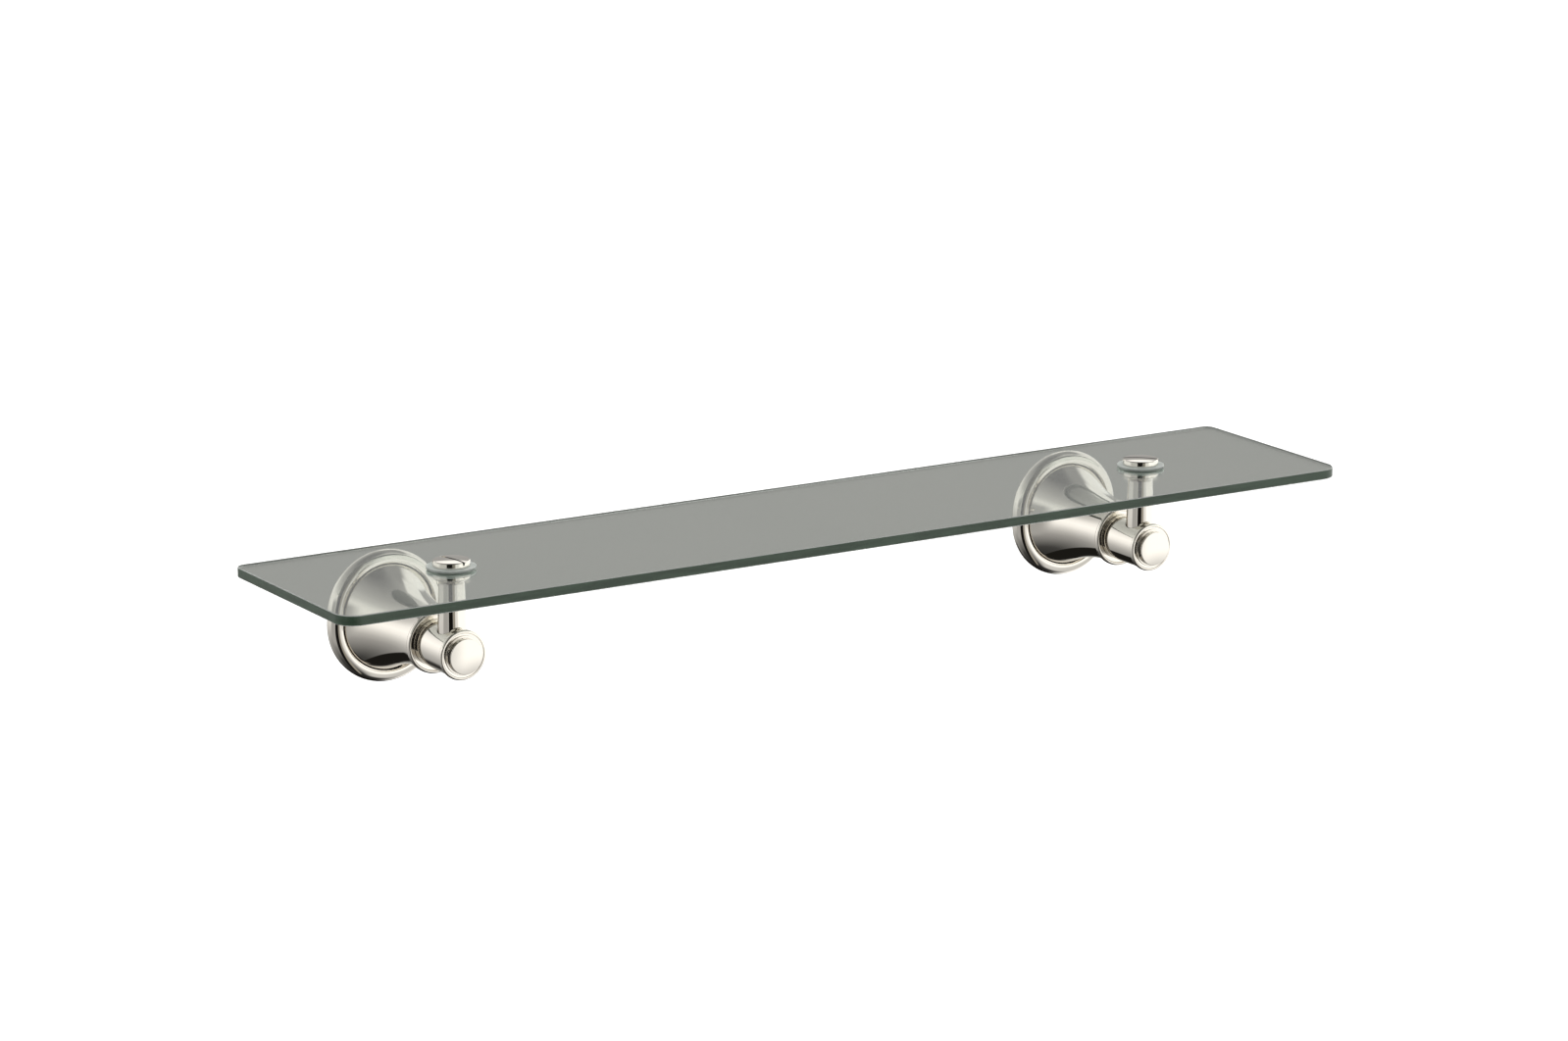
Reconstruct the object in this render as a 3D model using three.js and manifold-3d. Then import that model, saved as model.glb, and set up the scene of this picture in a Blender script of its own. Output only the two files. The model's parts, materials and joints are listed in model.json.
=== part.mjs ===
// A glass wall shelf on two traditional post brackets, in millimetres.
// +X runs along the shelf, +Z is up and the wall is the plane y = 0, so the shelf stands out towards -Y.
// The origin lies on the wall, half way between the two brackets, at the height of their arms.
import * as THREE from "three";
import { mergeVertices } from "three/addons/utils/BufferGeometryUtils.js";
import Module from "manifold-3d";

// ---- driving dimensions ----

const GLASS = { length: 560, depth: 112, thickness: 5, arris: 0.4, topZ: 39.8, wallGap: 13.2 };
const GLASS_CORNER = { front: 10, back: 5 };
const GLASS_HOLE_R = 5.7;
const BRACKET_X = 196; // half the distance between the two brackets
const POST_REACH = 70.5; // wall to the axis of the upright post
const CLEARANCE = 0.3; // between pieces that fit into each other
const SEAT = 0.1; // between flat faces that rest on each other
const EDGE = 0.4; // bevel on turned edges

// Stack on the post, from the glass outwards.
const WASHER = { r: 11.8, thickness: 1.2 };
const SLEEVE_R = 5.3;
const GLASS_BOTTOM_Z = GLASS.topZ - GLASS.thickness;
const POST_TOP_Z = GLASS_BOTTOM_Z - WASHER.thickness - 2 * SEAT;
const SCREW_HEAD = { r: 8.9, thickness: 3.2, chamfer: 0.5, slotWidth: 1.5, slotDepth: 1.2 };
const SLOT_TURN = { left: 13, right: 49 }; // degrees from the depth direction, as each screw was left
const CLAMP_THREAD_R = 3; // M6
const CLAMP_THREAD_DEPTH = 9.5; // how far the screw reaches into the post
const POST = {
  headR: 8.8, headThickness: 2.4, lipRadius: 0.5, neckR: 6.15, baseR: 6.8,
  taperFromZ: 12, seatZ: 5.8, studR: 3, studTipZ: -4.4,
};

// Pieces on the arm's axis: distances from the wall.
const ROSETTE = {
  r: 30.45, depth: 8, crestR: 26.55, bellyAt: 3.2, footR: 29.25,
  boreR: 27, lipR: 24.9, lipFrom: 6.3, lipTo: 7,
};
const WALL_PLATE = { r: 26.6, thickness: 2, rimDepth: 4.5, rimThickness: 1.6 };
const HORN = {
  from: 7.2, to: 51.6, mouthR: 24.3, neckR: 13.6, flare: 2.2,
  wall: 2.6, webFrom: 34, flangeR: 26.5,
};
const COLLAR = { from: 51.9, to: 55.1, r: 14.9, edgeR: 1.2, dishR: 13.5, dishDepth: 1 };
const BARREL = { to: 78.8, r: 11.4 };
const END_RING = { from: 78.9, to: 81.5, r: 12.1, edgeR: 1.1, dishR: 10.7, dishDepth: 0.4 };
const BUTTON = { from: 81.2, r: 8.6, edgeAt: 84.4, crownAt: 85, stemR: 3.9, stemFrom: 75.6 };
const TIE_BOLT = { shankR: 3, headR: 5, headThickness: 4, tipAt: 64.5, tipChamfer: 0.8 }; // M6 cap screw

// Fixings in and behind the wall plate.
const WALL_SCREW = {
  r: 2.1, headR: 4, headThickness: 2.4, headEdge: 1.1, crownR: 2.4,
  spacing: 24, reach: 25.5, pointLength: 6,
};
const WALL_PLUG = { r: 3.5, length: 24, noseR: 2.7, noseLength: 4, collarR: 4.2, collarThickness: 1 };
const GRUB_SCREW = { r: 1.5, at: 2.6, sunk: 0.7 }; // M3, up through the underside of the rosette

const FINE = 24; // facets round the large turned pieces
const MEDIUM = 20;
const SMALL = 12;

// ---- materials ----

const finish = (color, roughness, metalness) => () =>
  new THREE.MeshStandardMaterial({ color, roughness, metalness });
const nickel = finish(0xd9d3c8, 0.08, 1);
const steel = finish(0xa9abad, 0.35, 1);
const plugPlastic = finish(0xb9bcbf, 0.6, 0);
const washerPlastic = finish(0xdfe8e2, 0.4, 0);
const greenGlass = () =>
  new THREE.MeshStandardMaterial({
    color: 0x8fa396, roughness: 0.03, metalness: 0, transparent: true, opacity: 0.45,
  });

// ---- solids ----

const wasm = await Module();
wasm.setup();

// A geometry whose faces share their vertices, as joining and cutting need.
function welded(geometry) {
  const bare = geometry.clone();
  bare.deleteAttribute("normal");
  bare.deleteAttribute("uv");
  return mergeVertices(bare, 1e-4);
}

function solidFrom(geometry) {
  const { attributes, index } = welded(geometry);
  return new wasm.Manifold(
    new wasm.Mesh({
      numProp: 3,
      vertProperties: new Float32Array(attributes.position.array),
      triVerts: new Uint32Array(index.array),
    }),
  );
}

function geometryFrom(solid) {
  const { vertProperties, triVerts } = solid.getMesh();
  const geometry = new THREE.BufferGeometry();
  geometry.setAttribute("position", new THREE.BufferAttribute(vertProperties, 3));
  geometry.setIndex(new THREE.BufferAttribute(triVerts, 1));
  return geometry;
}

function cut(geometry, ...tools) {
  const solid = tools.reduce((rest, tool) => rest.subtract(solidFrom(tool)), solidFrom(geometry));
  return geometryFrom(solid);
}

// Turns an outline of [radius, along] points about the local Y axis.
// The outline runs up the outside and back down the inside or the axis.
function turned(outline, facets) {
  const points = [...outline, outline[0]].map(([r, along]) => new THREE.Vector2(r, along));
  return new THREE.LatheGeometry(points, facets);
}

// A cylinder along local Z between two heights, used as a drill.
function drill(r, fromZ, toZ, facets, x = 0, y = 0) {
  return new THREE.CylinderGeometry(r, r, toZ - fromZ, facets)
    .rotateX(Math.PI / 2)
    .translate(x, y, (fromZ + toZ) / 2);
}

// Points on an arc of an ellipse in an outline, angles in degrees from the radial direction.
function arc(centreR, centreAlong, sizeR, sizeAlong, fromDeg, toDeg, steps) {
  return Array.from({ length: steps + 1 }, (_, i) => {
    const angle = THREE.MathUtils.degToRad(fromDeg + ((toDeg - fromDeg) * i) / steps);
    return [centreR + sizeR * Math.cos(angle), centreAlong + sizeAlong * Math.sin(angle)];
  });
}

// ---- the glass ----

function glassShelf() {
  const { arris } = GLASS;
  const halfLength = GLASS.length / 2 - arris;
  const back = -GLASS.wallGap - arris;
  const front = -GLASS.wallGap - GLASS.depth + arris;
  const rf = GLASS_CORNER.front - arris;
  const rb = GLASS_CORNER.back - arris;
  const outline = new THREE.Shape()
    .moveTo(-halfLength + rf, front)
    .lineTo(halfLength - rf, front)
    .absarc(halfLength - rf, front + rf, rf, -Math.PI / 2, 0)
    .lineTo(halfLength, back - rb)
    .absarc(halfLength - rb, back - rb, rb, 0, Math.PI / 2)
    .lineTo(-halfLength + rb, back)
    .absarc(-halfLength + rb, back - rb, rb, Math.PI / 2, Math.PI)
    .lineTo(-halfLength, front + rf)
    .absarc(-halfLength + rf, front + rf, rf, Math.PI, (3 * Math.PI) / 2);
  const slab = new THREE.ExtrudeGeometry(outline, {
    depth: GLASS.thickness - 2 * arris,
    bevelThickness: arris,
    bevelSize: arris,
    bevelSegments: 1,
    curveSegments: 5,
  }).translate(0, 0, GLASS_BOTTOM_Z + arris);
  const holes = [-BRACKET_X, BRACKET_X].map((x) =>
    drill(GLASS_HOLE_R, GLASS_BOTTOM_Z - 1, GLASS.topZ + 1, MEDIUM, x, -POST_REACH),
  );
  return cut(slab, ...holes);
}

// ---- pieces turned about the arm's axis; "along" is the distance from the wall ----

function rosette() {
  const { r, depth, crestR, bellyAt, footR, boreR, lipR, lipFrom } = ROSETTE;
  const ring = turned(
    [
      [boreR, 0],
      [footR, 0],
      ...arc(crestR, bellyAt, r - crestR, depth - bellyAt, 0, 90, 4),
      [lipR, ROSETTE.lipTo],
      [lipR, lipFrom],
      [boreR, lipFrom],
    ],
    FINE,
  );
  const grubHole = drill(GRUB_SCREW.r + CLEARANCE, -r - 1, -boreR + 1, SMALL, 0, GRUB_SCREW.at);
  return cut(ring, grubHole);
}

function wallPlate() {
  const { r, thickness, rimDepth, rimThickness } = WALL_PLATE;
  const pan = turned(
    [
      [0, 0],
      [r, 0],
      [r, rimDepth],
      [r - rimThickness, rimDepth],
      [r - rimThickness, thickness],
      [0, thickness],
    ],
    FINE,
  );
  const holes = [-1, 1].map((side) =>
    new THREE.CylinderGeometry(WALL_SCREW.r + CLEARANCE, WALL_SCREW.r + CLEARANCE, 8, SMALL)
      .translate(0, 0, (side * WALL_SCREW.spacing) / 2),
  );
  return cut(pan, ...holes);
}

// The trumpet-shaped horn: flared outside, hollow behind a solid neck.
function hornRadius(along) {
  const t = (along - HORN.from) / (HORN.to - HORN.from);
  return HORN.neckR + (HORN.mouthR - HORN.neckR) * (1 - t) ** HORN.flare;
}

function horn() {
  const { from, to, wall, webFrom, flangeR, mouthR } = HORN;
  const flangeBack = WALL_PLATE.rimDepth + CLEARANCE;
  const flangeFront = ROSETTE.lipFrom - CLEARANCE;
  const outsideSteps = 7;
  const insideSteps = 3;
  const outside = Array.from({ length: outsideSteps + 1 }, (_, i) => {
    const along = from + (to - from) * (i / outsideSteps) ** 1.3;
    return [hornRadius(along), along];
  });
  const inside = Array.from({ length: insideSteps }, (_, i) => {
    const along = webFrom - ((webFrom - from) * i) / (insideSteps - 1);
    return [hornRadius(along) - wall, along];
  });
  const boltR = TIE_BOLT.shankR + CLEARANCE;
  return turned(
    [
      [mouthR - wall, flangeBack],
      [flangeR, flangeBack],
      [flangeR, flangeFront],
      [mouthR, flangeFront],
      ...outside,
      [boltR, to],
      [boltR, webFrom],
      ...inside,
    ],
    FINE,
  );
}

function collar() {
  const { from, to, r, edgeR, dishR, dishDepth } = COLLAR;
  const boltR = TIE_BOLT.shankR + CLEARANCE;
  return turned(
    [
      [boltR, from],
      ...arc(r - edgeR, from + edgeR, edgeR, edgeR, -90, 0, 2),
      ...arc(r - edgeR, to - edgeR, edgeR, edgeR, 0, 90, 2),
      [dishR, to - dishDepth],
      [boltR, to - dishDepth],
    ],
    FINE,
  );
}

function barrel() {
  const { to, r } = BARREL;
  const from = COLLAR.to - COLLAR.dishDepth + CLEARANCE;
  const boltR = TIE_BOLT.shankR + CLEARANCE;
  const stemR = BUTTON.stemR + CLEARANCE;
  const body = turned([[0, from], [r - EDGE, from], [r, from + EDGE], [r, to], [0, to]], FINE);
  const socketR = POST.baseR + CLEARANCE;
  const socket = drill(socketR, POST.seatZ - CLEARANCE, r + 2, MEDIUM, 0, POST_REACH);
  const studHole = drill(POST.studR + CLEARANCE, POST.studTipZ - CLEARANCE, r, SMALL, 0, POST_REACH);
  const boltHole = new THREE.CylinderGeometry(boltR, boltR, TIE_BOLT.tipAt - from + 2, SMALL)
    .translate(0, (TIE_BOLT.tipAt + CLEARANCE + from - 1) / 2, 0);
  const stemHole = new THREE.CylinderGeometry(stemR, stemR, to - BUTTON.stemFrom + 2, SMALL)
    .translate(0, (to + BUTTON.stemFrom - CLEARANCE + 1) / 2, 0);
  return cut(body, socket, studHole, boltHole, stemHole);
}

function endRing() {
  const { from, to, r, edgeR, dishR, dishDepth } = END_RING;
  const stemR = BUTTON.stemR + CLEARANCE;
  return turned(
    [
      [stemR, from],
      ...arc(r - edgeR, from + edgeR, edgeR, edgeR, -90, 0, 2),
      ...arc(r - edgeR, to - edgeR, edgeR, edgeR, 0, 90, 2),
      [dishR, to - dishDepth],
      [stemR, to - dishDepth],
    ],
    FINE,
  );
}

function endButton() {
  const { from, r, edgeAt, crownAt, stemR, stemFrom } = BUTTON;
  return turned(
    [
      [0, stemFrom],
      [stemR, stemFrom],
      [stemR, from],
      [r, from],
      [r, edgeAt],
      [r / 2, crownAt - (crownAt - edgeAt) / 4],
      [0, crownAt],
    ],
    MEDIUM,
  );
}

function tieBolt() {
  const { shankR, headR, headThickness, tipAt, tipChamfer } = TIE_BOLT;
  const headFront = HORN.webFrom - CLEARANCE;
  return turned(
    [
      [0, headFront - headThickness],
      [headR, headFront - headThickness],
      [headR, headFront],
      [shankR, headFront],
      [shankR, tipAt - tipChamfer],
      [shankR - tipChamfer, tipAt],
      [0, tipAt],
    ],
    SMALL,
  );
}

// ---- wall fixings; "along" is still the distance from the wall, so they reach to minus values ----

function wallScrew() {
  const { r, headR, headThickness, headEdge, crownR, reach, pointLength } = WALL_SCREW;
  const headBack = WALL_PLATE.thickness + SEAT;
  return turned(
    [
      [0, -reach],
      [r, -reach + pointLength],
      [r, headBack],
      [headR, headBack],
      [headR, headBack + headEdge],
      [crownR, headBack + headThickness],
      [0, headBack + headThickness],
    ],
    SMALL,
  );
}

function wallPlug() {
  const { r, length, noseR, noseLength, collarR, collarThickness } = WALL_PLUG;
  const mouth = -CLEARANCE;
  const boreR = WALL_SCREW.r + CLEARANCE;
  return turned(
    [
      [boreR, mouth - length],
      [noseR, mouth - length],
      [r, mouth - length + noseLength],
      [r, mouth - collarThickness],
      [collarR, mouth - collarThickness],
      [collarR, mouth],
      [boreR, mouth],
    ],
    SMALL,
  );
}

const GRUB_INNER_R = WALL_PLATE.r + CLEARANCE; // its ends, as distances from the arm's axis
const GRUB_OUTER_R = ROSETTE.r - GRUB_SCREW.sunk;

function grubScrew() {
  return new THREE.CylinderGeometry(GRUB_SCREW.r, GRUB_SCREW.r, GRUB_OUTER_R - GRUB_INNER_R, SMALL);
}

// ---- pieces turned about the post's axis; "along" is the height ----

function post() {
  const { headR, headThickness, lipRadius, neckR, baseR, taperFromZ, seatZ, studR, studTipZ } = POST;
  const headBottom = POST_TOP_Z - headThickness;
  const filletR = headR - lipRadius - neckR;
  const boreR = CLAMP_THREAD_R + CLEARANCE;
  const boreBottom = POST_TOP_Z - CLAMP_THREAD_DEPTH - 2;
  return turned(
    [
      [0, studTipZ],
      [studR, studTipZ],
      [studR, seatZ],
      [baseR, seatZ],
      [baseR, taperFromZ],
      ...arc(neckR + filletR, headBottom - filletR, -filletR, filletR, 0, 90, 3),
      [headR, headBottom + lipRadius],
      [headR, POST_TOP_Z - EDGE],
      [headR - EDGE, POST_TOP_Z],
      [boreR, POST_TOP_Z],
      [boreR, boreBottom],
      [0, boreBottom],
    ],
    MEDIUM,
  );
}

const WASHER_BORE_R = CLAMP_THREAD_R + CLEARANCE;

function lowerWasher() {
  const bottom = POST_TOP_Z + SEAT;
  const top = bottom + WASHER.thickness;
  return turned([[WASHER_BORE_R, bottom], [WASHER.r, bottom], [WASHER.r, top], [WASHER_BORE_R, top]], MEDIUM);
}

// A flange on top of the glass and a sleeve that lines its hole.
const UPPER_WASHER_TOP_Z = GLASS.topZ + SEAT + WASHER.thickness;

function upperWasher() {
  const flangeBottom = GLASS.topZ + SEAT;
  const sleeveBottom = GLASS_BOTTOM_Z + CLEARANCE;
  return turned(
    [
      [WASHER_BORE_R, sleeveBottom],
      [SLEEVE_R, sleeveBottom],
      [SLEEVE_R, flangeBottom],
      [WASHER.r, flangeBottom],
      [WASHER.r, UPPER_WASHER_TOP_Z],
      [WASHER_BORE_R, UPPER_WASHER_TOP_Z],
    ],
    MEDIUM,
  );
}

function clampScrew() {
  const { r, thickness, chamfer, slotWidth, slotDepth } = SCREW_HEAD;
  const headBottom = UPPER_WASHER_TOP_Z + SEAT;
  const headTop = headBottom + thickness;
  const tip = POST_TOP_Z - CLAMP_THREAD_DEPTH;
  const blank = turned(
    [
      [0, tip],
      [CLAMP_THREAD_R - EDGE, tip],
      [CLAMP_THREAD_R, tip + EDGE],
      [CLAMP_THREAD_R, headBottom],
      [r, headBottom],
      [r, headTop - chamfer],
      [r - chamfer, headTop],
      [0, headTop],
    ],
    FINE,
  );
  const slot = new THREE.BoxGeometry(slotWidth, 2 * slotDepth, 3 * r).translate(0, headTop, 0);
  return cut(blank, slot);
}

// ---- assembly ----

function piece(name, geometry, material) {
  const mesh = new THREE.Mesh(geometry, material());
  mesh.name = name;
  return mesh;
}

function bracket(side, x) {
  const named = (name) => `${side}_${name}`;

  // Turned half round about Z, so that the local Y axis of the arm's pieces runs out from the wall.
  const arm = new THREE.Group();
  arm.rotation.z = Math.PI;
  arm.add(
    piece(named("wall_plate"), wallPlate(), steel),
    piece(named("rosette"), rosette(), nickel),
    piece(named("horn"), horn(), nickel),
    piece(named("collar"), collar(), nickel),
    piece(named("barrel"), barrel(), nickel),
    piece(named("end_ring"), endRing(), nickel),
    piece(named("end_button"), endButton(), nickel),
    piece(named("tie_bolt"), tieBolt(), steel),
  );
  for (const [place, sign] of [["upper", 1], ["lower", -1]]) {
    const wallFixings = [
      piece(named(`${place}_wall_screw`), wallScrew(), steel),
      piece(named(`${place}_wall_plug`), wallPlug(), plugPlastic),
    ];
    for (const fixing of wallFixings) fixing.position.z = (sign * WALL_SCREW.spacing) / 2;
    arm.add(...wallFixings);
  }
  const grub = piece(named("grub_screw"), grubScrew(), steel);
  grub.rotation.x = Math.PI / 2;
  grub.position.set(0, GRUB_SCREW.at, -(GRUB_OUTER_R + GRUB_INNER_R) / 2);
  arm.add(grub);

  // Tilted so that the local Y axis of the post's pieces points up.
  const upright = new THREE.Group();
  upright.rotation.x = Math.PI / 2;
  upright.position.y = -POST_REACH;
  const screw = piece(named("clamp_screw"), clampScrew(), nickel);
  screw.rotation.y = THREE.MathUtils.degToRad(SLOT_TURN[side]);
  upright.add(
    piece(named("post"), post(), nickel),
    piece(named("lower_washer"), lowerWasher(), washerPlastic),
    piece(named("upper_washer"), upperWasher(), washerPlastic),
    screw,
  );

  const whole = new THREE.Group();
  whole.position.x = x;
  whole.add(arm, upright);
  return whole;
}

const shelf = new THREE.Group();
shelf.add(
  piece("glass_shelf", glassShelf(), greenGlass),
  bracket("left", -BRACKET_X),
  bracket("right", BRACKET_X),
);

export default shelf;
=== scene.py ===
import json
import math

import bmesh
import bpy
from mathutils import Matrix, Vector


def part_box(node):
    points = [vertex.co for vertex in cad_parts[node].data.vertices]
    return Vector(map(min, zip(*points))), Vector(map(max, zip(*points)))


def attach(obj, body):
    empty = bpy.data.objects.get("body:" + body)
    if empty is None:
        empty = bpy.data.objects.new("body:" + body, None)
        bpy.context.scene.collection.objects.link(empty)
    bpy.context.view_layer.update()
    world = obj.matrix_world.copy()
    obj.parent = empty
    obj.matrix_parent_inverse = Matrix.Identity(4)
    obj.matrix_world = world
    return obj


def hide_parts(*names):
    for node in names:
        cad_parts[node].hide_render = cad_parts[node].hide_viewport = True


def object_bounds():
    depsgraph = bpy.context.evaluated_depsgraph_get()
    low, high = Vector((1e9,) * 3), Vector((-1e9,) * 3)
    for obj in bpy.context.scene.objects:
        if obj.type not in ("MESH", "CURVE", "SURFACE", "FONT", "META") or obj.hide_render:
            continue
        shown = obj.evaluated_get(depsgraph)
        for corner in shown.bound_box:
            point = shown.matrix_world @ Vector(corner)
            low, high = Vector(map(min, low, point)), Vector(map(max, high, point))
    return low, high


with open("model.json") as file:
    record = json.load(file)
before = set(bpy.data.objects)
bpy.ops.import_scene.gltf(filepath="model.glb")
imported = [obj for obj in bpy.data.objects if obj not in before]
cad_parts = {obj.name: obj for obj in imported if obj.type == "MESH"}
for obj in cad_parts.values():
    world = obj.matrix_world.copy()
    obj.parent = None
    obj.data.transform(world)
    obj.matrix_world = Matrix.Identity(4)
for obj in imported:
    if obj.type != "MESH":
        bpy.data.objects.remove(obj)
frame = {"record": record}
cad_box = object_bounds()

MM = 0.001
SIDES = ("left", "right")
PLACES = ("upper", "lower")  # of the two wall screws behind each rosette

# ---- how finely things are turned ----

LARGE = 144  # facets round the pieces that are seen most
MIDDLE = 96
SMALL = 48
SHARP_ANGLE = 32  # degrees; shading breaks where faces meet more steeply

# ---- sizes that the CAD boxes don't give, in millimetres ----

CLEARANCE = 0.3
OVERCUT = 1  # how far a cutter reaches past what it cuts
GLASS_ARRIS = 0.4
GLASS_CORNER = {"front": 10, "back": 5}
GLASS_HOLE_R = 5.7
ROSETTE = {
    "crest_r": 25.6, "belly_at": 3.2, "foot_r": 29.25, "bore_r": 27,
    "lip_r": 24.9, "lip_from": 6.3, "lip_edge": 0.25,
}
HORN = {"from": 7.2, "mouth_r": 24.3, "neck_r": 13.6, "flare": 2.2, "wall": 2.6, "web_from": 34}
COLLAR = {"edge": 1.2, "dish_r": 13.5, "dish_depth": 1}
END_RING = {"edge": 1.0, "dish_r": 10.8, "dish_depth": 0.4}
BUTTON = {"stem_r": 3.9, "seat_gap": 0.1, "step_r": 9.5, "step": 0.55, "step_edge": 0.15, "sag": 0.6}
PLATE = {"thickness": 2, "rim": 1.6}
SCREW_SPACING = 24
M6 = {"crest": 3.0, "root": 2.5, "pitch": 1.0}
M3 = {"crest": 1.5, "root": 1.22, "pitch": 0.5}
WOOD_THREAD = {"crest": 2.1, "root": 1.45, "pitch": 1.9}
THREAD_STEEPNESS = 1.25  # 1 is a sharp crest, more leaves a flat on it
TIE_BOLT = {"head": 4, "shank": 12, "key": 5, "key_depth": 2.4}
GRUB_KEY = {"across": 1.5, "depth": 1.2}
WALL_SCREW = {"point": 6, "rim": 0.7, "cross": (4.6, 0.9, 2.6)}
WALL_PLUG = {
    "r": 3.5, "nose_r": 2.8, "nose": 4, "ribs": 8, "pitch": 2.2,
    "split": 0.8, "split_length": 15, "split_at": 7,
}
POST = {
    "neck_r": 6.15, "base_r": 6.8, "seat": 5.8, "taper_at": 12, "taper_ease": 3,
    "head": 2.4, "lip": 0.5, "bore_depth": 11.5,
}
UPPER_WASHER = {"sleeve_r": 5.3, "flange": 1.2}
CLAMP_SCREW = {"head_r": 8.9, "head": 3.2, "neck": 5, "crown": 0.42, "chamfer": 0.4}
SLOT = {"width": 1.1, "depth": 1.9}
SLOT_TURN = {"left": 13, "right": 49}  # degrees from the depth direction

# ---- the studio ----

CAMERA = {"azimuth": -31.69, "elevation": 13.83, "distance": 2.623, "lens": 124.9, "sensor": 36, "clip": 200}
CAMERA_AIM = Vector((-0.0139, -0.0008, 0.0016))  # from the middle of the glass
FLOOR_DROP = 0.35  # floor below the object's lowest point
FLOOR_SIZE = 60.0
LAMP = {"energy": 3.2, "spread": 60, "tilt": (12, -14)}  # a broad soft light from above; angles in degrees
MIX_FIRST, MIX_SECOND, MIX_RESULT = 6, 7, 2  # the colour sockets of a Mix node


# ---- measuring the frame ----

def turned_size(node, along_post=False):
    """Radius, start and end of a turned node in millimetres; on the arm, measured out from the wall."""
    low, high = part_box(node)
    radius = (high.x - low.x) / 2 / MM
    if along_post:
        return radius, low.z / MM, high.z / MM
    return radius, -high.y / MM, -low.y / MM


def middle(node):
    low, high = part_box(node)
    return (low + high) / 2


def arm_place(side):
    """Turns local Z into the way out from the wall, on the axis of one bracket's arm."""
    centre = middle(f"{side}_rosette")
    return Matrix.Translation((centre.x, 0, centre.z)) @ Matrix.Rotation(math.radians(90), 4, "X")


def post_place(side):
    centre = middle(f"{side}_post")
    return Matrix.Translation((centre.x, centre.y, 0))


# ---- outlines: lists of (radius, along), in millimetres ----

def arc(centre_r, centre_along, size_r, size_along, start, end, steps=12):
    """Points on an elliptical arc; angles in degrees from the radial direction."""
    angles = [math.radians(start + (end - start) * i / steps) for i in range(steps + 1)]
    return [(centre_r + size_r * math.cos(a), centre_along + size_along * math.sin(a)) for a in angles]


def eased(outline, steps=4):
    """Rounds each corner that carries a third value, the length taken off each of its sides."""
    points = []
    for i, corner in enumerate(outline):
        here = Vector(corner[:2])
        if len(corner) < 3:
            points.append(tuple(here))
            continue
        before = Vector(outline[i - 1][:2])
        after = Vector(outline[(i + 1) % len(outline)][:2])
        start = here + (before - here).normalized() * corner[2]
        end = here + (after - here).normalized() * corner[2]
        for k in range(steps + 1):
            t = k / steps
            points.append(tuple(start.lerp(here, t).lerp(here.lerp(end, t), t)))
    return points


def threaded(thread, start, end, per_turn=8):
    """Outline points of a screw thread; each radius is a function of the angle round the axis."""
    crest, root, pitch = thread["crest"], thread["root"], thread["pitch"]
    steps = max(2, round(abs(end - start) / pitch * per_turn))

    def radius_at(along):
        fade = min(1, abs(along - start) / pitch, abs(end - along) / pitch)

        def radius(angle):
            phase = (along / pitch - angle / math.tau) % 1
            return root + (crest - root) * min(1, THREAD_STEEPNESS * abs(2 * phase - 1)) * fade

        return radius

    heights = [start + (end - start) * i / steps for i in range(steps + 1)]
    return [(radius_at(along), along) for along in heights]


# ---- meshes ----

def new_piece(name, mesh):
    data = bpy.data.meshes.new(name)
    bmesh.ops.recalc_face_normals(mesh, faces=mesh.faces)
    mesh.to_mesh(data)
    mesh.free()
    piece = bpy.data.objects.new(name, data)
    bpy.context.scene.collection.objects.link(piece)
    return piece


def turned(name, outline, facets=MIDDLE):
    """A closed piece turned about local Z; its outline closes on itself or on the axis."""
    mesh = bmesh.new()
    rings = []
    for radius, along in outline:
        if not callable(radius) and radius < 1e-6:
            rings.append([mesh.verts.new((0, 0, along * MM))])
            continue
        ring = []
        for i in range(facets):
            angle = math.tau * i / facets
            r = radius(angle) if callable(radius) else radius
            ring.append(mesh.verts.new((r * MM * math.cos(angle), r * MM * math.sin(angle), along * MM)))
        rings.append(ring)
    for ring, following in zip(rings, rings[1:] + rings[:1]):
        for i in range(facets):
            j = i + 1
            corners = [ring[i % len(ring)], ring[j % len(ring)]]
            corners += [following[j % len(following)], following[i % len(following)]]
            corners = list(dict.fromkeys(corners))
            if len(corners) > 2:
                mesh.faces.new(corners)
    return new_piece(name, mesh)


def prism(name, sides, radius, start, end):
    """A straight bar of some number of sides along local Z, used as a cutter."""
    return turned(name, [(0, start), (radius, start), (radius, end), (0, end)], sides)


def bar(name, size, centre):
    """A rectangular cutter."""
    mesh = bmesh.new()
    bmesh.ops.create_cube(mesh, size=1)
    bmesh.ops.scale(mesh, vec=Vector(size) * MM, verts=mesh.verts)
    bmesh.ops.translate(mesh, vec=Vector(centre) * MM, verts=mesh.verts)
    return new_piece(name, mesh)


def moved(piece, matrix):
    piece.data.transform(matrix)
    return piece


def to_screw_place(piece, place):
    """Moves a piece from the arm's axis to the upper or lower wall screw."""
    sign = 1 if place == "upper" else -1
    return moved(piece, Matrix.Translation((0, sign * SCREW_SPACING / 2 * MM, 0)))


def settled(piece):
    """Replaces the mesh by what its modifiers make of it."""
    bpy.context.view_layer.update()
    evaluated = piece.evaluated_get(bpy.context.evaluated_depsgraph_get())
    result = bpy.data.meshes.new_from_object(evaluated)
    piece.modifiers.clear()
    piece.data = result
    return piece


def cut(piece, *cutters):
    for cutter in cutters:
        step = piece.modifiers.new("cut", "BOOLEAN")
        step.operation = "DIFFERENCE"
        step.solver = "EXACT"
        step.object = cutter
    settled(piece)
    for cutter in cutters:
        bpy.data.objects.remove(cutter)
    return piece


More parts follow.
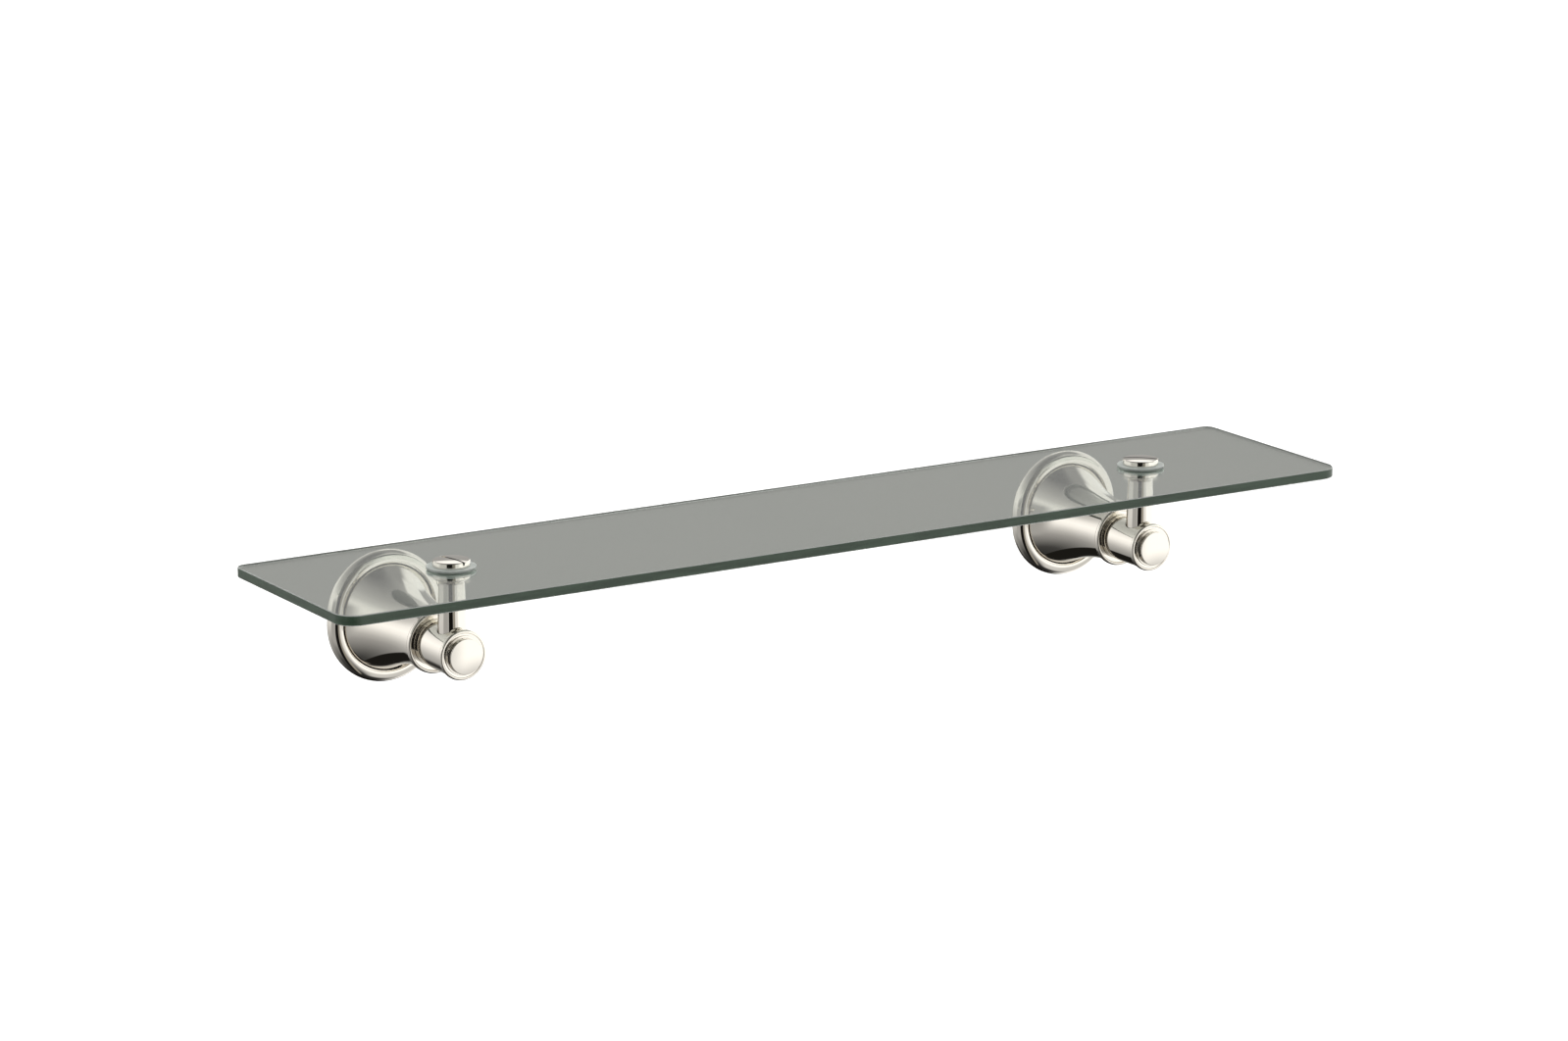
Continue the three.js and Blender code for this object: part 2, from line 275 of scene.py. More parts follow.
def shaded(piece):
    """Smooth shading that keeps flats flat and hard edges hard."""
    piece.data.shade_smooth()
    piece.data.set_sharp_from_angle(angle=math.radians(SHARP_ANGLE))
    weighted = piece.modifiers.new("normals", "WEIGHTED_NORMAL")
    weighted.keep_sharp = True
    return settled(piece)


# ---- the glass ----

def rounded_outline(low, high, inset, steps=14):
    """Corners of the pane's plan, inset by some millimetres, as (x, y) in metres."""
    points = []
    corners = (
        (high.x, low.y, "front", -90), (high.x, high.y, "back", 0),
        (low.x, high.y, "back", 90), (low.x, low.y, "front", 180),
    )
    for x, y, end, start in corners:
        radius = GLASS_CORNER[end] * MM
        centre_x = x - math.copysign(radius, x)
        centre_y = y + (radius if end == "front" else -radius)
        for k in range(steps + 1):
            angle = math.radians(start + 90 * k / steps)
            reach = radius - inset * MM
            points.append((centre_x + reach * math.cos(angle), centre_y + reach * math.sin(angle)))
    return points


def glass_pane():
    low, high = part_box("glass_shelf")
    arris = GLASS_ARRIS * MM
    levels = ((GLASS_ARRIS, low.z), (0, low.z + arris), (0, high.z - arris), (GLASS_ARRIS, high.z))
    mesh = bmesh.new()
    loops = [
        [mesh.verts.new((x, y, z)) for x, y in rounded_outline(low, high, inset)] for inset, z in levels
    ]
    for lower, upper in zip(loops, loops[1:]):
        for i in range(len(lower)):
            j = (i + 1) % len(lower)
            mesh.faces.new((lower[i], lower[j], upper[j], upper[i]))
    mesh.faces.new(loops[0])
    mesh.faces.new(loops[-1])
    pane = new_piece("glass_pane", mesh)
    bottom, top = low.z / MM, high.z / MM
    r = GLASS_HOLE_R
    drill = [
        (0, bottom - OVERCUT), (r + GLASS_ARRIS + OVERCUT, bottom - OVERCUT), (r, bottom + GLASS_ARRIS),
        (r, top - GLASS_ARRIS), (r + GLASS_ARRIS + OVERCUT, top + OVERCUT), (0, top + OVERCUT),
    ]
    drills = [moved(turned(f"{side}_drill", drill), post_place(side)) for side in SIDES]
    return shaded(cut(pane, *drills))


# ---- pieces on the arm ----

def rosette(side):
    r, start, end = turned_size(f"{side}_rosette")
    crest_r, belly, foot_r = ROSETTE["crest_r"], ROSETTE["belly_at"], ROSETTE["foot_r"]
    bore_r, lip_r, lip_from = ROSETTE["bore_r"], ROSETTE["lip_r"], ROSETTE["lip_from"]
    lip_edge = ROSETTE["lip_edge"]
    outline = [
        (bore_r, start),
        *arc(foot_r, belly, r - foot_r, belly - start, -90, 0, 10),
        *arc(crest_r, belly, r - crest_r, end - belly, 0, 90, 26)[1:],
        *arc(lip_r + lip_edge, end - lip_edge, lip_edge, lip_edge, 90, 180, 6),
        (lip_r, lip_from),
        (bore_r, lip_from),
    ]
    ring = turned("rosette", outline, LARGE)
    grub_at = -middle(f"{side}_grub_screw").y
    hole = prism("grub_hole", SMALL, M3["crest"] + CLEARANCE, -r - 2 * OVERCUT, 2 * OVERCUT - bore_r)
    moved(hole, Matrix.Translation((0, 0, grub_at)) @ Matrix.Rotation(math.radians(-90), 4, "X"))
    return shaded(cut(ring, hole))


def wall_plate(side):
    r, start, end = turned_size(f"{side}_wall_plate")
    front, rim = PLATE["thickness"], PLATE["rim"]
    pan = turned("pan", eased([
        (0, start), (r, start, 0.5), (r, end, 0.5), (r - rim, end, 0.5), (r - rim, front, 0.6), (0, front),
    ]), LARGE)
    hole_r = WOOD_THREAD["crest"] + CLEARANCE
    holes = [
        to_screw_place(prism("hole", SMALL, hole_r, start - 2 * OVERCUT, end + 2 * OVERCUT), place)
        for place in PLACES
    ]
    return shaded(cut(pan, *holes))


def horn_radius(along, end):
    t = (along - HORN["from"]) / (end - HORN["from"])
    return HORN["neck_r"] + (HORN["mouth_r"] - HORN["neck_r"]) * (1 - t) ** HORN["flare"]


def horn(side):
    flange_r, flange_back, end = turned_size(f"{side}_horn")
    start, wall, web = HORN["from"], HORN["wall"], HORN["web_from"]
    flange_front = ROSETTE["lip_from"] - CLEARANCE
    bolt_r = M6["crest"] + CLEARANCE
    steps, inner_steps, bunching = 44, 12, 1.15  # the outer steps are closer together near the mouth
    outer = [start + (end - start) * (i / steps) ** bunching for i in range(steps + 1)]
    inner = [web - (web - start) * i / inner_steps for i in range(inner_steps + 1)]
    outline = eased([
        (HORN["mouth_r"] - wall, flange_back), (flange_r, flange_back, 0.2), (flange_r, flange_front, 0.2),
        (HORN["mouth_r"], flange_front), *((horn_radius(along, end), along) for along in outer),
        (bolt_r, end), (bolt_r, web), *((horn_radius(along, end) - wall, along) for along in inner),
    ])
    return shaded(turned("horn", outline, LARGE))


def collar(side):
    r, start, end = turned_size(f"{side}_collar")
    edge, dish_r, dish_depth = COLLAR["edge"], COLLAR["dish_r"], COLLAR["dish_depth"]
    bolt_r = M6["crest"] + CLEARANCE
    outline = eased([
        (bolt_r, start), *arc(r - edge, start + edge, edge, edge, -90, 0, 12),
        *arc(r - edge, end - edge, edge, edge, 0, 80, 12),
        (dish_r, end, 0.1), (dish_r - 0.2, end - dish_depth, 0.25), (bolt_r, end - dish_depth),
    ])
    return shaded(turned("collar", outline, LARGE))


def barrel(side):
    r, start, end = turned_size(f"{side}_barrel")
    body = turned("barrel", eased([(0, start), (r, start, 0.4), (r, end, 0.25), (0, end)]), LARGE)
    base_r, seat = POST["base_r"] + CLEARANCE, POST["seat"] - CLEARANCE
    thread_r, stud_tip = M6["crest"] + CLEARANCE, turned_size(f"{side}_post", True)[1] - CLEARANCE
    post_at = -middle(f"{side}_post").y
    upright = Matrix.Translation((0, 0, post_at)) @ Matrix.Rotation(math.radians(-90), 4, "X")
    socket = moved(prism("socket", MIDDLE, base_r, seat, r + 3 * OVERCUT), upright)
    stud_hole = moved(prism("stud_hole", SMALL, thread_r, stud_tip, seat + OVERCUT), upright)
    bolt_tip = turned_size(f"{side}_tie_bolt")[2] + CLEARANCE
    bolt_hole = prism("bolt_hole", SMALL, thread_r, start - OVERCUT, bolt_tip)
    stem_r, stem_from = BUTTON["stem_r"] + CLEARANCE, turned_size(f"{side}_end_button")[1] - CLEARANCE
    stem_hole = prism("stem_hole", SMALL, stem_r, stem_from, end + OVERCUT)
    return shaded(cut(body, socket, stud_hole, bolt_hole, stem_hole))


def end_ring(side):
    r, start, end = turned_size(f"{side}_end_ring")
    edge, dish_r, dish_depth = END_RING["edge"], END_RING["dish_r"], END_RING["dish_depth"]
    stem_r = BUTTON["stem_r"] + CLEARANCE
    outline = eased([
        (stem_r, start), *arc(r - edge, start + edge, edge, edge, -90, 0, 12),
        *arc(r - edge, end - edge, edge, edge, 0, 86, 12),
        (dish_r, end, 0.1), (dish_r - 0.15, end - dish_depth, 0.15), (stem_r, end - dish_depth),
    ])
    return shaded(turned("end_ring", outline, LARGE))


def end_button(side):
    r, stem_from, crown = turned_size(f"{side}_end_button")
    back = turned_size(f"{side}_end_ring")[2] - END_RING["dish_depth"] + BUTTON["seat_gap"]
    stem_r, step_r, step_top, sag = BUTTON["stem_r"], BUTTON["step_r"], back + BUTTON["step"], BUTTON["sag"]
    crown_r = (r * r + sag * sag) / (2 * sag)
    slope = math.degrees(math.asin(r / crown_r))
    outline = eased([
        (0, stem_from), (stem_r, stem_from, 0.4), (stem_r, back),
        (step_r, back, 0.1), (step_r, step_top, BUTTON["step_edge"]), (r, step_top, 0.08),
        (r, crown - sag, 0.3), *arc(0, crown - crown_r, crown_r, crown_r, 90 - slope + 0.4, 90, 20),
    ])
    return shaded(turned("end_button", outline, LARGE))


def hex_recess(across_flats, start, end):
    return prism("hex_recess", 6, across_flats / math.sqrt(3), start, end)


def tie_bolt(side):
    head_r, start, tip = turned_size(f"{side}_tie_bolt")
    head_front = start + TIE_BOLT["head"]
    shank_r, shank = M6["root"] + 0.4, TIE_BOLT["shank"]
    outline = [
        *eased([(0, start), (head_r, start, 0.5), (head_r, head_front, 0.2), (shank_r, head_front),
                (shank_r, head_front + shank)]),
        *threaded(M6, head_front + (shank + 0.5), tip - 0.8),
        (M6["root"] - 0.3, tip), (0, tip),
    ]
    key = hex_recess(TIE_BOLT["key"], start - OVERCUT, start + TIE_BOLT["key_depth"])
    return shaded(cut(turned("tie_bolt", outline, SMALL), key))


def wall_screw(side, place):
    head_r, tip, top = turned_size(f"{side}_{place}_wall_screw")
    root, point, rim = WOOD_THREAD["root"], WALL_SCREW["point"], WALL_SCREW["rim"]
    head_back = PLATE["thickness"] + 0.1
    coarse = threaded(WOOD_THREAD, head_back - 2.2, tip + point, 12)
    steps = 6
    taper = [(root * math.sqrt(1 - k / steps), tip + point * (1 - k / steps)) for k in range(1, steps)]
    outline = [
        (0, tip), *reversed(taper), *reversed(coarse), (root + 0.3, head_back - 2.1),
        (root + 0.4, head_back), (head_r, head_back), (head_r, head_back + rim),
        *arc(0, head_back + rim, head_r, top - head_back - rim, 8, 90, 10),
    ]
    screw = turned("wall_screw", outline, SMALL)
    length, width, depth = WALL_SCREW["cross"]
    arms = (length, width, depth), (width, length, depth)
    cut(screw, *(bar("recess", size, (0, 0, top)) for size in arms))
    return shaded(to_screw_place(screw, place))


def wall_plug(side, place):
    collar_r, far, mouth = turned_size(f"{side}_{place}_wall_plug")
    bore_r, r, nose = WOOD_THREAD["crest"] + CLEARANCE, WALL_PLUG["r"], WALL_PLUG["nose"]
    outline = [(bore_r, far), (WALL_PLUG["nose_r"], far), (r - 0.3, far + nose - 0.5)]
    for k in range(WALL_PLUG["ribs"]):
        foot = far + nose + k * WALL_PLUG["pitch"]
        outline += [(r - 0.55, foot), (r, foot + 0.35), (r, foot + 0.8), (r - 0.55, foot + 1.5)]
    outline += [(r - 0.3, mouth - 1), (collar_r, mouth - 1), (collar_r, mouth), (bore_r, mouth)]
    plug = turned("wall_plug", outline, SMALL)
    split = (WALL_PLUG["split"], 2 * r + 2 * OVERCUT, WALL_PLUG["split_length"])
    cut(plug, bar("split", split, (0, 0, far + WALL_PLUG["split_at"])))
    return shaded(to_screw_place(plug, place))


def grub_screw(side):
    low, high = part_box(f"{side}_grub_screw")
    length = (high.z - low.z) / MM
    outline = [(0, 0), (M3["root"], 0), *threaded(M3, 0.1, length - 0.1), (M3["root"], length), (0, length)]
    key = hex_recess(GRUB_KEY["across"], -OVERCUT, GRUB_KEY["depth"])
    screw = shaded(moved(cut(turned("grub_screw", outline, SMALL), key), Matrix.Translation((0, 0, low.z))))
    return moved(screw, Matrix.Translation(((low.x + high.x) / 2, (low.y + high.y) / 2, 0)))


# ---- pieces on the post ----

def post(side):
    head_r, tip, top = turned_size(f"{side}_post", True)
    neck_r, base_r, seat, lip = POST["neck_r"], POST["base_r"], POST["seat"], POST["lip"]
    fillet = head_r - lip - neck_r
    under = top - POST["head"]
    bore_r, bore_bottom = M6["crest"] + CLEARANCE, top - POST["bore_depth"]
    outline = [
        (0, tip), (M6["root"] - 0.2, tip), *threaded(M6, tip + 0.2, seat - 1.5), (M6["root"], seat),
        *eased([
            (base_r, seat, 0.3), (base_r, POST["taper_at"], POST["taper_ease"]),
            *arc(neck_r + fillet, under - fillet, -fillet, fillet, 0, 90, 14),
            (head_r, under + lip, 0.3), (head_r, top, 0.35),
            (bore_r + 0.5, top), (bore_r, top - 0.5), (bore_r, bore_bottom), (0, bore_bottom),
        ]),
    ]
    return shaded(turned("post", outline, MIDDLE))


def lower_washer(side):
    r, bottom, top = turned_size(f"{side}_lower_washer", True)
    bore_r = M6["crest"] + CLEARANCE
    return shaded(turned("lower_washer", eased([
        (bore_r, bottom, 0.15), (r, bottom, 0.3), (r, top, 0.3), (bore_r, top, 0.15),
    ]), MIDDLE))


def upper_washer(side):
    r, bottom, top = turned_size(f"{side}_upper_washer", True)
    bore_r, sleeve_r = M6["crest"] + CLEARANCE, UPPER_WASHER["sleeve_r"]
    flange = top - UPPER_WASHER["flange"]
    return shaded(turned("upper_washer", eased([
        (bore_r, bottom), (sleeve_r, bottom, 0.3), (sleeve_r, flange), (r, flange, 0.3),
        (r, top, 0.3), (bore_r, top, 0.15),
    ]), MIDDLE))


def clamp_screw(side):
    _, tip, top = turned_size(f"{side}_clamp_screw", True)
    r, neck, crown, chamfer = (CLAMP_SCREW[key] for key in ("head_r", "neck", "crown", "chamfer"))
    neck_r = M6["root"] + 0.35
    bottom = top - CLAMP_SCREW["head"]
    steps = 8
    crowned = [((r - chamfer) * k / steps, top - crown * (k / steps) ** 2) for k in range(steps, -1, -1)]
    outline = [
        (0, tip), (M6["root"] - 0.4, tip), *threaded(M6, tip + 0.3, bottom - neck),
        (neck_r, bottom - neck + 0.1),
        *eased([(neck_r, bottom), (r, bottom, 0.2), (r, top - crown - chamfer), *crowned]),
    ]
    screw = turned("clamp_screw", outline, LARGE)
    cut(screw, bar("slot", (SLOT["width"], 3 * r, 2 * SLOT["depth"]), (0, 0, top)))
    return shaded(moved(screw, Matrix.Rotation(math.radians(SLOT_TURN[side]), 4, "Z")))


# ---- materials ----

def surface(name):
    material = bpy.data.materials.new(name)
    material.use_nodes = True
    tree = material.node_tree
    return material, tree, tree.nodes["Principled BSDF"]


def noise(tree, scale, detail=3.0, stretch=(1, 1, 1)):
    """Noise in the object's own space, its features about 1 / scale metres across."""
    place = tree.nodes.new("ShaderNodeTexCoord")
    mapping = tree.nodes.new("ShaderNodeMapping")
    mapping.inputs["Scale"].default_value = stretch
    texture = tree.nodes.new("ShaderNodeTexNoise")
    texture.inputs["Scale"].default_value = scale
    texture.inputs["Detail"].default_value = detail
    tree.links.new(place.outputs["Object"], mapping.inputs["Vector"])
    tree.links.new(mapping.outputs["Vector"], texture.inputs["Vector"])
    return texture.outputs["Fac"]


def between(tree, factor, low, high):
    """Spreads a noise factor over a range of numbers."""
    spread = tree.nodes.new("ShaderNodeMapRange")
    spread.inputs["From Min"].default_value = 0.3
    spread.inputs["From Max"].default_value = 0.7
    spread.inputs["To Min"].default_value = low
    spread.inputs["To Max"].default_value = high
    tree.links.new(factor, spread.inputs["Value"])
    return spread.outputs["Result"]


def tones(tree, factor, first, second):
    ramp = tree.nodes.new("ShaderNodeValToRGB")
    for stop, position, colour in zip(ramp.color_ramp.elements, (0.35, 0.65), (first, second)):
        stop.position = position
        stop.color = (*colour, 1)
    tree.links.new(factor, ramp.inputs["Fac"])
    return ramp.outputs["Color"]


def bumped(tree, shader, height, strength, distance):
    bump = tree.nodes.new("ShaderNodeBump")
    bump.inputs["Strength"].default_value = strength
    bump.inputs["Distance"].default_value = distance
    tree.links.new(height, bump.inputs["Height"])
    tree.links.new(bump.outputs["Normal"], shader.inputs["Normal"])


def polished_nickel():
    material, tree, shader = surface("polished_nickel")
    shader.inputs["Metallic"].default_value = 1.0
    tree.links.new(tones(tree, noise(tree, 35), (0.82, 0.785, 0.725), (0.85, 0.815, 0.755)),
                   shader.inputs["Base Color"])
    tree.links.new(between(tree, noise(tree, 420, 5), 0.025, 0.06), shader.inputs["Roughness"])
    bumped(tree, shader, noise(tree, 70, 1), strength=0.05, distance=0.0004)
    return material


def zinc_steel():
    material, tree, shader = surface("zinc_steel")
    shader.inputs["Metallic"].default_value = 1.0
    tree.links.new(tones(tree, noise(tree, 160), (0.52, 0.53, 0.55), (0.66, 0.66, 0.65)),
                   shader.inputs["Base Color"])
    tree.links.new(between(tree, noise(tree, 900, 4), 0.24, 0.42), shader.inputs["Roughness"])
    bumped(tree, shader, noise(tree, 1600, 4), strength=0.12, distance=0.0001)
    return material


def plug_plastic():
    material, tree, shader = surface("plug_plastic")
    tree.links.new(tones(tree, noise(tree, 220), (0.44, 0.46, 0.48), (0.52, 0.54, 0.55)),
                   shader.inputs["Base Color"])
    tree.links.new(between(tree, noise(tree, 700, 3), 0.42, 0.6), shader.inputs["Roughness"])
    shader.inputs["Subsurface Weight"].default_value = 0.15
    shader.inputs["Subsurface Radius"].default_value = (0.001, 0.001, 0.001)
    bumped(tree, shader, noise(tree, 1200, 3), strength=0.15, distance=0.0001)
    return material


def washer_plastic():
    material, tree, shader = surface("washer_plastic")
    tree.links.new(tones(tree, noise(tree, 300), (0.76, 0.81, 0.78), (0.83, 0.87, 0.84)),
                   shader.inputs["Base Color"])
    tree.links.new(between(tree, noise(tree, 800, 3), 0.30, 0.46), shader.inputs["Roughness"])
    shader.inputs["Transmission Weight"].default_value = 0.70
    shader.inputs["IOR"].default_value = 1.42
    bumped(tree, shader, noise(tree, 900, 2), strength=0.08, distance=0.0001)
    return material


def shelf_glass():
    """Clear faces and satin green edges, told apart by the way the surface faces."""
    material, tree, shader = surface("shelf_glass")
    shader.inputs["IOR"].default_value = 1.52
    place = tree.nodes.new("ShaderNodeTexCoord")
    split = tree.nodes.new("ShaderNodeSeparateXYZ")
    tree.links.new(place.outputs["Normal"], split.inputs["Vector"])
    flatness = tree.nodes.new("ShaderNodeMath")
    flatness.operation = "ABSOLUTE"
    tree.links.new(split.outputs["Z"], flatness.inputs[0])

    def by_face(edge, face):
        """A number that is one thing on the ground edges and another on the polished faces."""
        spread = tree.nodes.new("ShaderNodeMapRange")
        for key, value in (("From Min", 0.5), ("From Max", 0.9), ("To Min", edge), ("To Max", face)):
            spread.inputs[key].default_value = value
        tree.links.new(flatness.outputs[0], spread.inputs["Value"])
        return spread.outputs["Result"]

    faces = tones(tree, noise(tree, 14), (0.965, 0.985, 0.97), (0.985, 1.0, 0.985))
    edges = tones(tree, noise(tree, 60, 4, (1, 1, 9)), (0.012, 0.030, 0.015), (0.022, 0.046, 0.026))
    colour = tree.nodes.new("ShaderNodeMix")
    colour.data_type = "RGBA"
    tree.links.new(by_face(0, 1), colour.inputs["Factor"])
    tree.links.new(edges, colour.inputs[MIX_FIRST])
    tree.links.new(faces, colour.inputs[MIX_SECOND])
    tree.links.new(colour.outputs[MIX_RESULT], shader.inputs["Base Color"])
    tree.links.new(by_face(0.12, 1), shader.inputs["Transmission Weight"])
    polish = tree.nodes.new("ShaderNodeMath")
    polish.operation = "ADD"
    tree.links.new(by_face(0.38, 0), polish.inputs[0])
    tree.links.new(between(tree, noise(tree, 30, 6), 0.0, 0.004), polish.inputs[1])
    tree.links.new(polish.outputs[0], shader.inputs["Roughness"])
    absorption = tree.nodes.new("ShaderNodeVolumeAbsorption")
    absorption.inputs["Color"].default_value = (0.42, 0.62, 0.48, 1)
    absorption.inputs["Density"].default_value = 16.0
    output = tree.nodes["Material Output"]
    tree.links.new(absorption.outputs["Volume"], output.inputs["Volume"])
    # Lamps shine through the pane onto what is under it.
    path = tree.nodes.new("ShaderNodeLightPath")
    clear = tree.nodes.new("ShaderNodeBsdfTransparent")
    clear.inputs["Color"].default_value = (0.80, 0.86, 0.81, 1)
    mixed = tree.nodes.new("ShaderNodeMixShader")
    tree.links.new(path.outputs["Is Shadow Ray"], mixed.inputs["Fac"])
    tree.links.new(shader.outputs["BSDF"], mixed.inputs[1])
    tree.links.new(clear.outputs["BSDF"], mixed.inputs[2])
    tree.links.new(mixed.outputs["Shader"], output.inputs["Surface"])
    return material


MATERIALS = {
    "shelf_glass": shelf_glass(), "polished_nickel": polished_nickel(), "zinc_steel": zinc_steel(),
    "plug_plastic": plug_plastic(), "washer_plastic": washer_plastic(),
}

# ---- assembly: each piece stands in for one CAD node, on that node's body ----

SLOT_OF = {part["node"]: part["material_slot"] for part in frame["record"]["subparts"]}
BODY_OF = {node: body for body, nodes in frame["record"]["behaviour"]["bodies"].items() for node in nodes}


def stand_in(piece, node):
    piece.name = piece.data.name = f"{node}_looks"
    piece.data.materials.clear()
    piece.data.materials.append(MATERIALS[SLOT_OF[node]])
    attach(piece, BODY_OF[node])
    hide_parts(node)


stand_in(glass_pane(), "glass_shelf")
for side in SIDES:
    for make in (rosette, wall_plate, horn, collar, barrel, end_ring, end_button, tie_bolt):
        stand_in(moved(make(side), arm_place(side)), f"{side}_{make.__name__}")
    for place in PLACES:
        for make in (wall_screw, wall_plug):
            stand_in(moved(make(side, place), arm_place(side)), f"{side}_{place}_{make.__name__}")
    for make in (post, lower_washer, upper_washer, clamp_screw):
        stand_in(moved(make(side), post_place(side)), f"{side}_{make.__name__}")
    stand_in(grub_screw(side), f"{side}_grub_screw")

# ---- camera ----

def add_camera():
    azimuth, elevation = math.radians(CAMERA["azimuth"]), math.radians(CAMERA["elevation"])
    back = Vector((math.sin(azimuth) * math.cos(elevation), -math.cos(azimuth) * math.cos(elevation),
                   math.sin(elevation)))
    data = bpy.data.cameras.new("camera")
    data.lens = CAMERA["lens"]
    data.sensor_width = CAMERA["sensor"]
    data.clip_end = CAMERA["clip"]
    camera = bpy.data.objects.new("camera", data)
    bpy.context.scene.collection.objects.link(camera)
    camera.location = middle("glass_shelf") + CAMERA_AIM + back * CAMERA["distance"]
    camera.rotation_euler = back.to_track_quat("Z", "Y").to_euler()
    bpy.context.scene.camera = camera


add_camera()

# ---- floor, light and what the metal mirrors ----

def add_floor():
    mesh = bmesh.new()
    bmesh.ops.create_grid(mesh, x_segments=1, y_segments=1, size=FLOOR_SIZE / 2)
    floor = new_piece("floor", mesh)
    floor.location.z = cad_box[0][2] - FLOOR_DROP
    material, tree, shader = surface("pale_floor")
    tree.links.new(tones(tree, noise(tree, 2), (0.93, 0.93, 0.93), (0.95, 0.95, 0.95)),
                   shader.inputs["Base Color"])
    shader.inputs["Roughness"].default_value = 0.9
    shader.inputs["Specular IOR Level"].default_value = 0.0
    floor.data.materials.append(material)
    floor.visible_glossy = False
    floor.visible_transmission = False


# Soft zones of the studio, from the broad to the small, each laid over those before it: middle azimuth,
# half width, lowest and highest elevation and softness in degrees, then colour and brightness.
# Azimuth 0 looks at the shelf's front edge; the white floor is brightness 1.
WHITE = (1.0, 0.99, 0.965)
WARM = (1.0, 0.93, 0.80)
STUDIO = (
    (-80, 22, -36, 14, 12, WHITE, 0.42),  # dimmer wall between the camera and the left window
    (76, 60, -62, -18, 20, WHITE, 0.70),  # table under the right wall
    (14, 20, -27, 36, 16, WHITE, 0.90),  # corner before it
    (80, 60, -22, 38, 18, WHITE, 1.34),  # bright right wall
    (120, 18, -56, -20, 8, WHITE, 1.15),  # bright table behind it
    (46, 36, 42, 62, 12, WHITE, 0.60),  # fading into the ceiling
    (112, 32, 42, 66, 10, WHITE, 0.28),  # darker further back
    (-12, 9, -80, 42, 8, WARM, 0.34),  # soft side of the gap for the camera
    (-34, 25, 12, 66, 8, WARM, 0.09),  # its dim top
    (-38, 17, -84, 16, 2.5, WARM, 0.008),  # its black core
    (145, 10, 20, 44, 6, WHITE, 1.25),  # small window behind the shelf
    (163, 24, 1, 19, 3, WHITE, 0.40),  # grey wall behind the shelf
    (163, 24, -31, 0, 4, (1.0, 0.99, 0.93), 0.31),  # its foot
    (166, 30, -84, -30, 4, WARM, 0.012),  # black underneath
)
# Brightness by elevation wherever no zone lies: dark ceiling, bright at eye level, dark underneath.
ROOM = (
    (-90, 0.02), (-72, 0.03), (-60, 0.06), (-48, 0.19), (-30, 0.38), (-20, 0.55), (-10, 0.80), (0, 1.10),
    (10, 1.25), (20, 1.10), (30, 0.70), (45, 0.45), (60, 0.28), (75, 0.08), (90, 0.08),
)


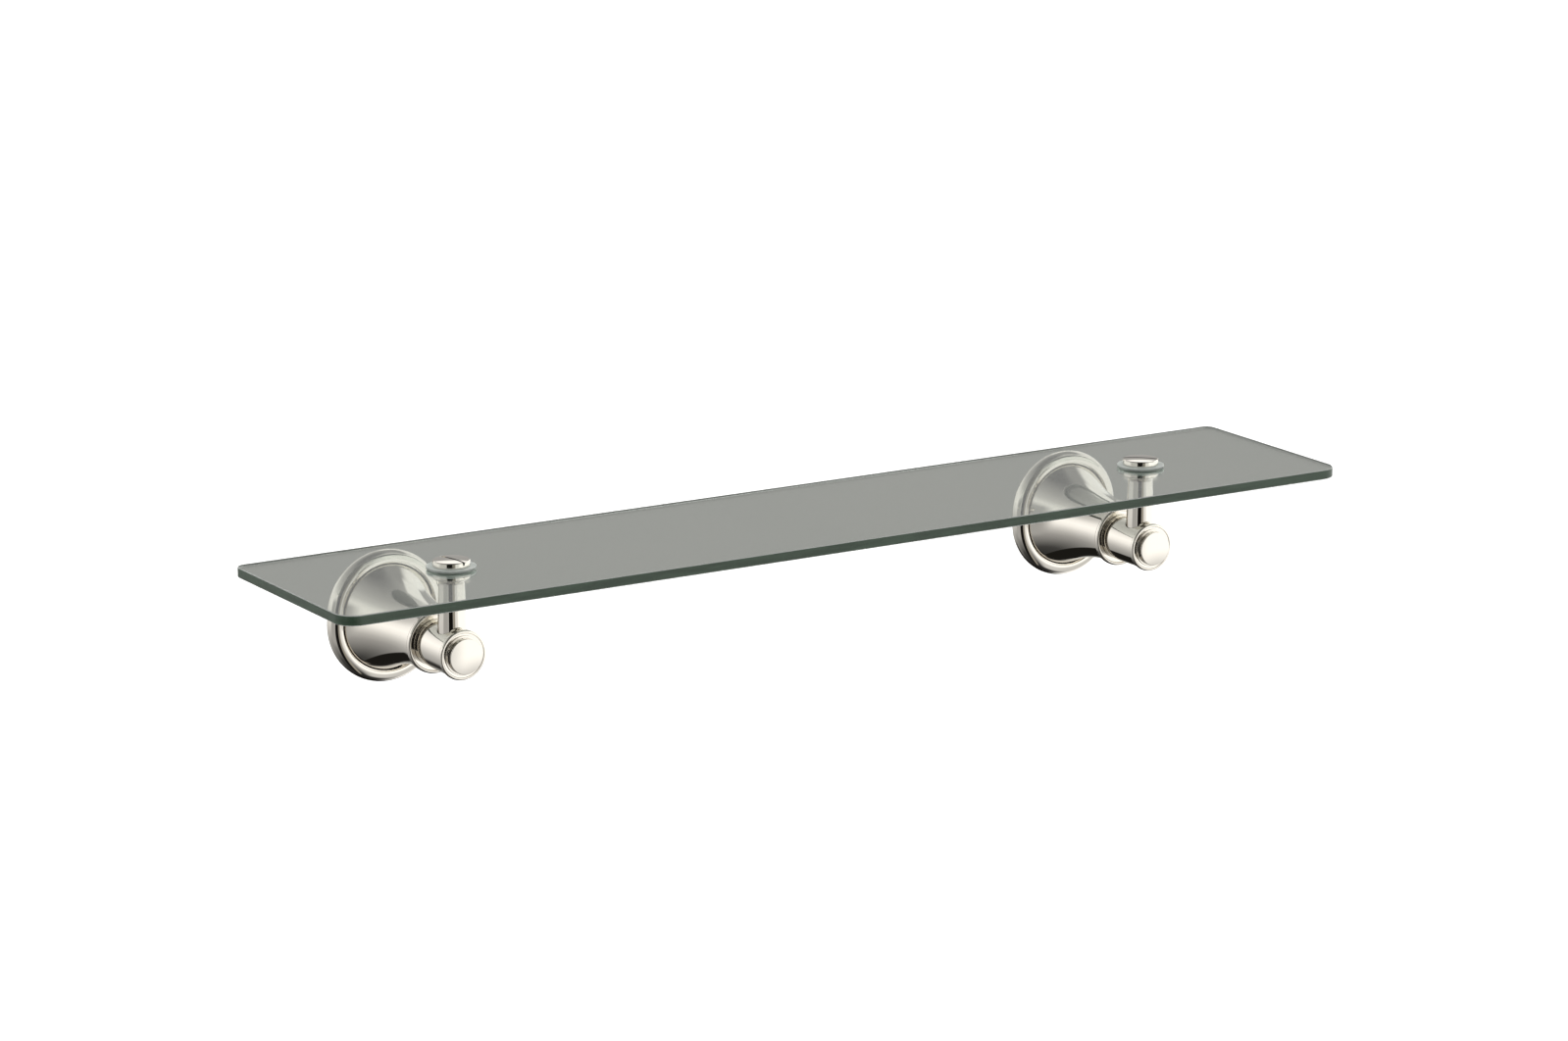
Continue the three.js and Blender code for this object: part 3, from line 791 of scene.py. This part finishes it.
def add_studio():
    world = bpy.data.worlds.new("studio")
    bpy.context.scene.world = world
    world.use_nodes = True
    tree = world.node_tree
    nodes, links = tree.nodes, tree.links
    nodes.clear()

    def node(kind, **settings):
        made = nodes.new(kind)
        for key, value in settings.items():
            setattr(made, key, value)
        return made

    def math_of(operation, *values):
        made = node("ShaderNodeMath", operation=operation)
        for socket, value in zip(made.inputs, values):
            if isinstance(value, (int, float)):
                socket.default_value = value
            else:
                links.new(value, socket)
        return made.outputs[0]

    def soft_step(value, low, high):
        made = node("ShaderNodeMapRange", interpolation_type="SMOOTHSTEP")
        links.new(value, made.inputs["Value"])
        made.inputs["From Min"].default_value = low
        made.inputs["From Max"].default_value = high
        return made.outputs["Result"]

    place = node("ShaderNodeTexCoord")
    split = node("ShaderNodeSeparateXYZ")
    links.new(place.outputs["Generated"], split.inputs["Vector"])
    x, y, z = split.outputs
    elevation = math_of("MULTIPLY", math_of("ARCSINE", z), 180 / math.pi)
    azimuth = math_of("MULTIPLY", math_of("ARCTAN2", x, math_of("MULTIPLY", y, -1)), 180 / math.pi)

    ramp = node("ShaderNodeValToRGB")
    ramp.color_ramp.interpolation = "LINEAR"
    stops = ramp.color_ramp.elements
    while len(stops) < len(ROOM):
        stops.new(0.5)
    for stop, (degrees, level) in zip(stops, ROOM):
        stop.position = (degrees + 90) / 180
        stop.color = (*(level * part for part in WHITE), 1)
    links.new(math_of("MULTIPLY", math_of("ADD", elevation, 90), 1 / 180), ramp.inputs["Fac"])

    colour = ramp.outputs["Color"]
    for middle_azimuth, half, low, high, soft, tint, level in STUDIO:
        turned_by = math_of("WRAP", math_of("SUBTRACT", azimuth, middle_azimuth), 180, -180)
        aside = math_of("ABSOLUTE", turned_by)
        fade = soft / 2
        within = soft_step(math_of("MULTIPLY", aside, -1), -half - fade, -half + fade)
        above = soft_step(elevation, low - fade, low + fade)
        below = soft_step(math_of("MULTIPLY", elevation, -1), -high - fade, -high + fade)
        mix = node("ShaderNodeMix", data_type="RGBA")
        links.new(math_of("MULTIPLY", math_of("MULTIPLY", within, above), below), mix.inputs["Factor"])
        links.new(colour, mix.inputs[MIX_FIRST])
        mix.inputs[MIX_SECOND].default_value = (*(level * part for part in tint), 1)
        colour = mix.outputs[MIX_RESULT]

    studio = node("ShaderNodeBackground")
    links.new(colour, studio.inputs["Color"])
    backdrop = node("ShaderNodeBackground")
    backdrop.inputs["Color"].default_value = (1, 1, 1, 1)
    backdrop.inputs["Strength"].default_value = 1.0
    path = node("ShaderNodeLightPath")
    choose = node("ShaderNodeMixShader")
    output = node("ShaderNodeOutputWorld")
    links.new(path.outputs["Is Camera Ray"], choose.inputs["Fac"])
    links.new(studio.outputs["Background"], choose.inputs[1])
    links.new(backdrop.outputs["Background"], choose.inputs[2])
    links.new(choose.outputs["Shader"], output.inputs["Surface"])


def add_lamp():
    data = bpy.data.lights.new("overhead", "SUN")
    data.energy = LAMP["energy"]
    data.angle = math.radians(LAMP["spread"])
    lamp = bpy.data.objects.new("overhead", data)
    bpy.context.scene.collection.objects.link(lamp)
    lamp.rotation_euler = (*(math.radians(tilt) for tilt in LAMP["tilt"]), 0)
    lamp.visible_glossy = False
    lamp.visible_transmission = False


add_floor()
add_studio()
add_lamp()
bpy.context.scene.view_settings.view_transform = "Standard"
